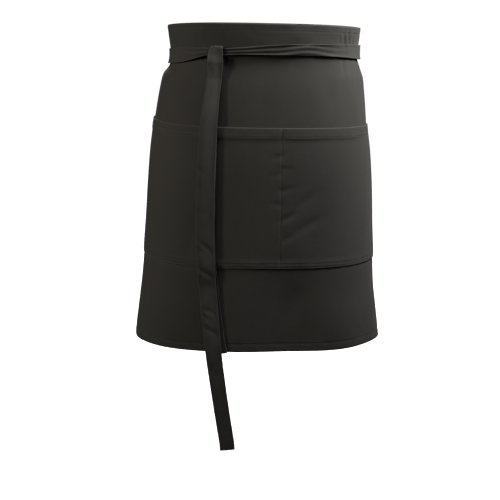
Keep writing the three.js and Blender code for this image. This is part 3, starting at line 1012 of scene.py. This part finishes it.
def smooth_route(points, step):
    """Points and directions on a centripetal curve through points, and the row that each is at."""
    ends = np.vstack([2 * points[0] - points[1], points, 2 * points[-1] - points[-2]])
    middle, forward, place = [], [], []
    for i in range(len(points) - 1):
        p0, p1, p2, p3 = ends[i:i + 4]
        pairs = ((p0, p1), (p1, p2), (p2, p3))
        d01, d12, d23 = (max(math.sqrt(np.linalg.norm(b - a)), 1e-4) for a, b in pairs)
        leaving = ((p1 - p0) / d01 - (p2 - p0) / (d01 + d12) + (p2 - p1) / d12) * d12
        arriving = ((p2 - p1) / d12 - (p3 - p1) / (d12 + d23) + (p3 - p2) / d23) * d12
        count = max(3, round(np.linalg.norm(p2 - p1) / step))
        t = np.linspace(0, 1, count + 1)[: None if i == len(points) - 2 else -1, None]
        middle.append(hermite(t, p1, p2, leaving, arriving))
        slopes = (3 * t**2 - 4 * t + 1) * leaving + (3 * t**2 - 2 * t) * arriving
        forward.append((6 * t**2 - 6 * t) * (p1 - p2) + slopes)
        place.append(i + t[:, 0])
    return np.vstack(middle), np.vstack(forward), np.concatenate(place)


def places(*columns):
    """Rows of a tie's route: across, drop, distance out, width, turn of its face and curl."""
    return np.column_stack(np.broadcast_arrays(*columns))


class Strap:
    """A tie's route over the waist: its middle line, its frame and its width at each station."""

    # Metres that a fully curled right edge lifts
    lift = 0.0085

    def __init__(self, surface, route, step):
        self.surface = surface
        points = route[:, :3] * (1, -1, 1)
        self.middle, forward, place = smooth_route(points, step)
        forward /= np.linalg.norm(forward, axis=1, keepdims=True)
        rows = np.arange(len(route))
        self.width, facing, self.curl = (np.interp(place, rows, route[:, column]) for column in (3, 4, 5))
        outward = np.column_stack([np.zeros_like(facing), np.sin(facing), np.cos(facing)])
        outward -= forward * (outward * forward).sum(axis=1, keepdims=True)
        outward /= np.linalg.norm(outward, axis=1, keepdims=True)
        self.outward = outward
        self.sideways = np.cross(outward, forward)
        self.length = run_lengths(self.middle)

    def at(self, station, side, out):
        """Points at stations along the tie, shares of its width and distances off its middle."""
        rows = np.arange(len(self.middle))
        frame_at = lambda field: np.column_stack([np.interp(station, rows, axis) for axis in field.T])
        width = np.interp(station, rows, self.width)
        out = out + self.lift * np.interp(station, rows, self.curl) * ease(-0.5, 0.5, side)
        flat = frame_at(self.middle) + frame_at(self.sideways) * (side * width)[:, None]
        flat = flat + frame_at(self.outward) * out[:, None]
        return self.surface.at(flat[:, 0], -flat[:, 1], flat[:, 2])


def face_out(sizes, drop):
    """Outermost face of the panel and pocket at a drop, as a tail lies over it."""
    mouth, hem = sizes.pocket_drop, sizes.pocket_hem
    foot = mouth + sizes.pocket_height
    panel_face, pocket_face, proud = 0.0005, 0.0024, 0.001
    on_pocket = ease(mouth - 5 * hem, mouth - hem / 2, drop)
    past = ease(foot + hem / 2, foot + 2 * hem, drop)
    upper = 1 - ease(mouth + 2 * hem, foot, drop)
    return panel_face + on_pocket * (1 - past) * (pocket_face + proud * upper)


class APRON_OT_ties(bpy.types.Operator):
    """Tie the two ties behind the waist and knot them in front"""

    bl_idname = "apron.ties"
    bl_label = "Ties"

    # Metres: a tail's middle off the cloth below it, the long tail off the short one, stitches from
    # a tie's edge, and the solid tie's thickness
    off_face = 0.0014
    tails_apart = 0.0007
    edge_seam = 0.0035
    solid_wall = 0.0015

    def round_waist(self, rows, facing):
        """Places of a tie round the waist, up to its seam on the band's end."""
        half_round = self.surface.half_round()
        left, _, right = panel_edges(self.sizes)
        last_turn = rows["turn"][-1]
        band_end = -left if last_turn > 0 else right
        seam_turn = math.copysign(2 - (band_end - self.tie.seam) / half_round, last_turn)
        turn = np.append(rows["turn"], seam_turn)
        drop, width, layer = (np.append(rows[name], rows[name][-1]) for name in ("drop", "width", "layer"))
        drop = drop * self.sizes.band_height
        out = self.tie.rest + layer * self.tie.layer
        return places(turn * half_round, drop, out, width * self.tie.width, facing, 0)

    def hang(self, rows, end, lift):
        """Places of a tail, from its free end up."""
        whole = self.sizes.apron_length
        drop = spread(end, rows["drop"][0] * whole, 0.01)
        columns = ("across", "width", "curl")
        across, width, curl = (along(rows, "drop", column, drop / whole) for column in columns)
        out = face_out(self.sizes, drop) + self.off_face + lift
        return places(across * self.tie.width, drop, out, width * self.tie.width, 0, curl)

    def through(self, rows, out, whole, facing):
        """Places of a tie along one of the knot's tables."""
        across = self.tie.knot_across + rows["across"] * self.tie.knot_turn
        drop = self.tie.knot_drop + rows["drop"] * self.tie.knot_turn
        return places(across, drop, out, rows["width"] * whole, facing, rows["curl"])

    def fold_over(self, drop, start, end, direction, width):
        """Half circle from one distance out to another, over the top of something or under its foot."""
        share = np.array([0.17, 0.33, 0.5, 0.67, 0.83])
        radius = abs(end - start) / 2
        middle = (start + end) / 2
        fall = drop - direction * radius * np.sin(share * math.pi)
        out = middle + (start - middle) * np.cos(share * math.pi)
        facing = math.pi * (share + (0 if direction > 0 else 1))
        return places(self.tie.knot_across, fall, out, width, facing, 0)

    def long_route(self, outs):
        """The long tie, from its tail up over the knot, round the short tie and off to the left."""
        tie = self.tie
        top = tie.knot_drop - tie.knot_width / 2 - tie.knot_gap
        foot = tie.knot_drop + tie.knot_turn
        rising, over, falling, gripped = (share * tie.width for share in (0.74, 0.68, 0.6, 0.44))
        at = lambda drop, out, width, halves: places(tie.knot_across, drop, out, width, halves * math.pi, 0)
        return np.vstack([
            self.hang(LONG_HANG, tie.long_end, tie.layer + self.tails_apart),
            self.through(OVER_KNOT, outs["hang"], tie.width, 0),
            at(top, outs["hang"], rising, 0),
            self.fold_over(top, outs["hang"], outs["rest"], 1, over),
            at(top, outs["rest"], falling, 1),
            at(tie.knot_drop, outs["rest"], gripped, 1),
            at(foot, outs["rest"], tie.knot_width, 1),
            self.fold_over(foot, outs["rest"], outs["crossing"], -1, tie.knot_width),
            self.through(ACROSS_KNOT, outs["crossing"], tie.knot_width, 2 * math.pi),
            self.round_waist(LONG_ROUND, 2 * math.pi),
        ])

    def short_route(self, outs):
        """The short tie, from its tail up through the loop and off to the right."""
        return np.vstack([
            self.hang(SHORT_HANG, self.tie.short_end, 0),
            self.through(THROUGH_KNOT, outs["through"], self.tie.knot_width, 0),
            self.round_waist(SHORT_ROUND, 0),
        ])

    def sew_tie(self, name, route, seed):
        """The tie's doubled cloth and the stitches along its edges."""
        tie = self.tie
        strap = Strap(self.surface, route, 0.003)
        stations = np.arange(len(strap.middle), dtype=float)
        beside = np.array([0.15, 0.27, 0.37, 0.44, 0.485, 0.5])
        sides = np.concatenate([-beside[::-1], [0], beside])
        seam_side = 0.5 - self.edge_seam / tie.width

        def shape(u, v):
            place = np.interp(v, strap.length, stations)
            narrow = 1 - np.interp(place, stations, strap.width) / tie.width
            side = u / tie.width
            wander = 2.5 * waver(v / 0.05, u * 0, seed)
            pleats = np.sin(2 * math.pi * (2.2 * side + 0.1) + wander)
            bunch = 0.0009 * ease(0.05, 0.45, narrow) * pleats
            small_waves = 0.00025 * waver(v / 0.011 + 5, side * 3, seed + 1)
            long_waves = 0.0002 * waver(v / 0.03, side * 2, seed + 2)
            groove = -0.0003 * near(np.abs(side), seam_side, 0.03)
            climb = v[:, None] - TAIL_CREASES["at"] - TAIL_CREASES["slope"] * u[:, None]
            climb = climb / TAIL_CREASES["width"]
            aside = (side[:, None] - TAIL_CREASES["side"]) / TAIL_CREASES["length"]
            creased = (TAIL_CREASES["height"] * np.exp(-(climb**2) - aside**2)).sum(axis=1)
            points = strap.at(place, side, bunch + small_waves + long_waves + groove + creased)
            # Painted highlight on the crests of the bunched pleats, added to edges that are paler partly from
            # rubbing and partly as painted highlight
            pleat_highlight = 0.12 * pleats * ease(0.05, 0.4, narrow)
            return points, wear_and_highlight_at((np.abs(side) - 0.5, 0.6, 0.03)) + pleat_highlight

        made = sewn_sheet(name, sides * tie.width, strap.length, shape, tie.wall, "tie_cloth", "tie twill", 1)
        sewing = Stitching(self.surface)
        for side in (-seam_side, seam_side):
            for face in (-1, 1):
                at = np.full_like(stations, side)
                off = face * tie.wall * 0.48
                points = strap.at(stations, at, off - 0.0003)
                sewing.run(points, face * (strap.at(stations, at, off + PROBE) - points))
        stitches = sewing.finish(name + "_stitches", "tie_cloth")

    def execute(self, context):
        self.sizes = context.scene.apron_sizes
        self.tie = context.scene.tie_sizes
        self.surface = WaistSurface(self.sizes)
        tie = self.tie
        through = tie.rest + self.solid_wall / 2 + tie.knot_gap + tie.knot_wall / 2
        crossing = through + tie.knot_wall / 2 + tie.knot_gap + self.solid_wall / 2
        hang = crossing + self.solid_wall + tie.knot_gap
        outs = {"rest": tie.rest, "through": through, "crossing": crossing, "hang": hang}
        self.sew_tie("tie_long", self.long_route(outs), 41)
        self.sew_tie("tie_short", self.short_route(outs), 51)
        return {"FINISHED"}


# Soft square lights: degrees round from the front and above it, distance and size in metres, and
# colour
LAMPS = {
    "key": (-71, 20, 2.0, 0.3, (1, 0.93, 0.84)),
    "rim": (68, 47, 0.86, 0.4, (1, 1, 0.99)),
    "fill": (-42, 14, 1.9, 0.3, (1, 0.96, 0.88)),
    "back": (180, 30, 2.2, 1.0, (1, 0.99, 0.97)),
}


class APRON_OT_stage(bpy.types.Operator):
    """Set up the pale floor, the light and the camera"""

    bl_idname = "apron.stage"
    bl_label = "Stage"

    def execute(self, context):
        look = context.scene.stage_look
        self.paper(look)
        for name, place in LAMPS.items():
            self.lamp(name, getattr(look, name), *place)
        context.scene.world = self.studio()
        context.scene.view_settings.view_transform = "Standard"
        self.camera(context.scene)
        return {"FINISHED"}

    def studio(self):
        """A pale room that is seen but gives the cloth hardly any light."""
        room = Finish(bpy.data.worlds.new("studio"))
        seen = room.node("ShaderNodeLightPath", {}, {}, "Is Camera Ray")
        dim, pale = (
            room.node("ShaderNodeBackground", {}, {"Color": (1, 1, 1, 1), "Strength": strength})
            for strength in (0.006, 1)
        )
        both = room.node("ShaderNodeMixShader", {}, {0: seen, 1: dim, 2: pale})
        room.node("ShaderNodeOutputWorld", {}, {"Surface": both})
        return room.owner

    def paper(self, look):
        """Floor that curves up into a backdrop."""
        bend, width = 2, 16
        radius = 2 / math.pi
        curve = bend + np.linspace(0.15, 1, 8)
        rows = np.concatenate([np.linspace(-4, bend, 7), curve, np.linspace(3.5, 7, 6)])
        bm = bmesh.new()
        bmesh.ops.create_grid(bm, x_segments=8, y_segments=len(rows) - 1, size=0.5)
        for vertex in bm.verts:
            run = rows[round((vertex.co.y + 0.5) * (len(rows) - 1))]
            angle = min(max(run - bend, 0), 1) * math.pi / 2
            reach = min(run, bend) + radius * math.sin(angle)
            height = radius * (1 - math.cos(angle)) + max(run - bend - 1, 0)
            vertex.co = (vertex.co.x * width, reach, height - look.floor_drop)
        floor = object_from(bm, "paper")
        floor.visible_diffuse = False
        floor.visible_glossy = False
        finish = Finish(bpy.data.materials.new("studio paper"))
        grain = finish.noise(finish.object_place(), "grain")
        floor.data.materials.append(finish.surface({
            "Base Color": (*look.paper, 1),
            "Roughness": 0.9 + grain * 0.05,
            "Normal": finish.bump(grain, 0.05, 0.001),
            "Emission Color": (1, 1, 1, 1),
            "Emission Strength": 0.97,
        }))
        floor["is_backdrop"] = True

    def lamp(self, name, power, azimuth, elevation, distance, size, tint):
        """A soft square light round the apron, pointing at it."""
        middle = Vector((0, 0, -0.1))
        turn, rise = math.radians(azimuth), math.radians(elevation)
        toward = Vector((math.sin(turn) * math.cos(rise), -math.cos(turn) * math.cos(rise), math.sin(rise)))
        data = bpy.data.lights.new(name, "AREA")
        data.size = size
        data.energy = power
        data.color = tint
        light = bpy.data.objects.new(name, data)
        light.location = middle + toward * distance
        light.rotation_euler = (-toward).to_track_quat("-Z", "Y").to_euler()
        bpy.context.scene.collection.objects.link(light)

    def camera(self, scene):
        """The photograph's view: from the left of straight on, at the waist's height."""
        azimuth, roll = math.radians(-6), math.radians(0.9)
        distance, height = 1.8, -0.061
        focal, picture, level_x, level_y = 1124, 500, 258.3, 92
        sensor = 36
        pitch = math.atan((picture / 2 - level_y) / focal)
        yaw = math.atan((picture / 2 - level_x) / focal)
        toward = Vector((math.sin(azimuth), -math.cos(azimuth), 0))
        right = Vector((math.cos(azimuth), math.sin(azimuth), 0))
        level = -toward * math.cos(yaw) + right * math.sin(yaw)
        forward = level * math.cos(pitch) - Vector((0, 0, math.sin(pitch)))
        side = forward.cross(Vector((0, 0, 1))).normalized()
        up = side.cross(forward)
        across = side * math.cos(roll) + up * math.sin(roll)
        above = up * math.cos(roll) - side * math.sin(roll)
        data = bpy.data.cameras.new("camera")
        data.sensor_width = sensor
        data.lens = focal / picture * sensor
        camera = bpy.data.objects.new("camera", data)
        camera.matrix_world = Matrix((across, above, -forward)).transposed().to_4x4()
        camera.location = toward * distance + Vector((0, 0, height))
        scene.collection.objects.link(camera)
        scene.camera = camera


OPERATORS = (APRON_OT_panel, APRON_OT_waistband, APRON_OT_pocket, APRON_OT_ties, APRON_OT_stage)
GROUPS = {
    "apron_sizes": ApronSizes,
    "tie_sizes": TieSizes,
    "cloth_look": ClothLook,
    "stage_look": StageLook,
}


class VIEW3D_PT_apron(bpy.types.Panel):
    """The apron's pieces and their sizes"""

    bl_label = "Waist apron"
    bl_space_type = "VIEW_3D"
    bl_region_type = "UI"
    bl_category = "Apron"

    def draw(self, context):
        for operator in OPERATORS:
            self.layout.operator(operator.bl_idname)
        for name, group in GROUPS.items():
            box = self.layout.box()
            for field in group.__annotations__:
                box.prop(getattr(context.scene, name), field)


def register():
    for group in GROUPS.values():
        bpy.utils.register_class(group)
    for name, group in GROUPS.items():
        setattr(bpy.types.Scene, name, bpy.props.PointerProperty(type=group))
    for operator in OPERATORS:
        bpy.utils.register_class(operator)
    bpy.utils.register_class(VIEW3D_PT_apron)


def unregister():
    bpy.utils.unregister_class(VIEW3D_PT_apron)
    for operator in reversed(OPERATORS):
        bpy.utils.unregister_class(operator)
    for name, group in GROUPS.items():
        delattr(bpy.types.Scene, name)
        bpy.utils.unregister_class(group)


def main():
    """Makes every piece."""
    register()
    bpy.ops.apron.stage()
    bpy.ops.apron.panel()
    bpy.ops.apron.waistband()
    bpy.ops.apron.pocket()
    bpy.ops.apron.ties()
    boxes = {"cad": cad_box, "visual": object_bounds()}
    {name: [list(corner) for corner in corners] for name, corners in boxes.items()}


if __name__ == "__main__":
    main()
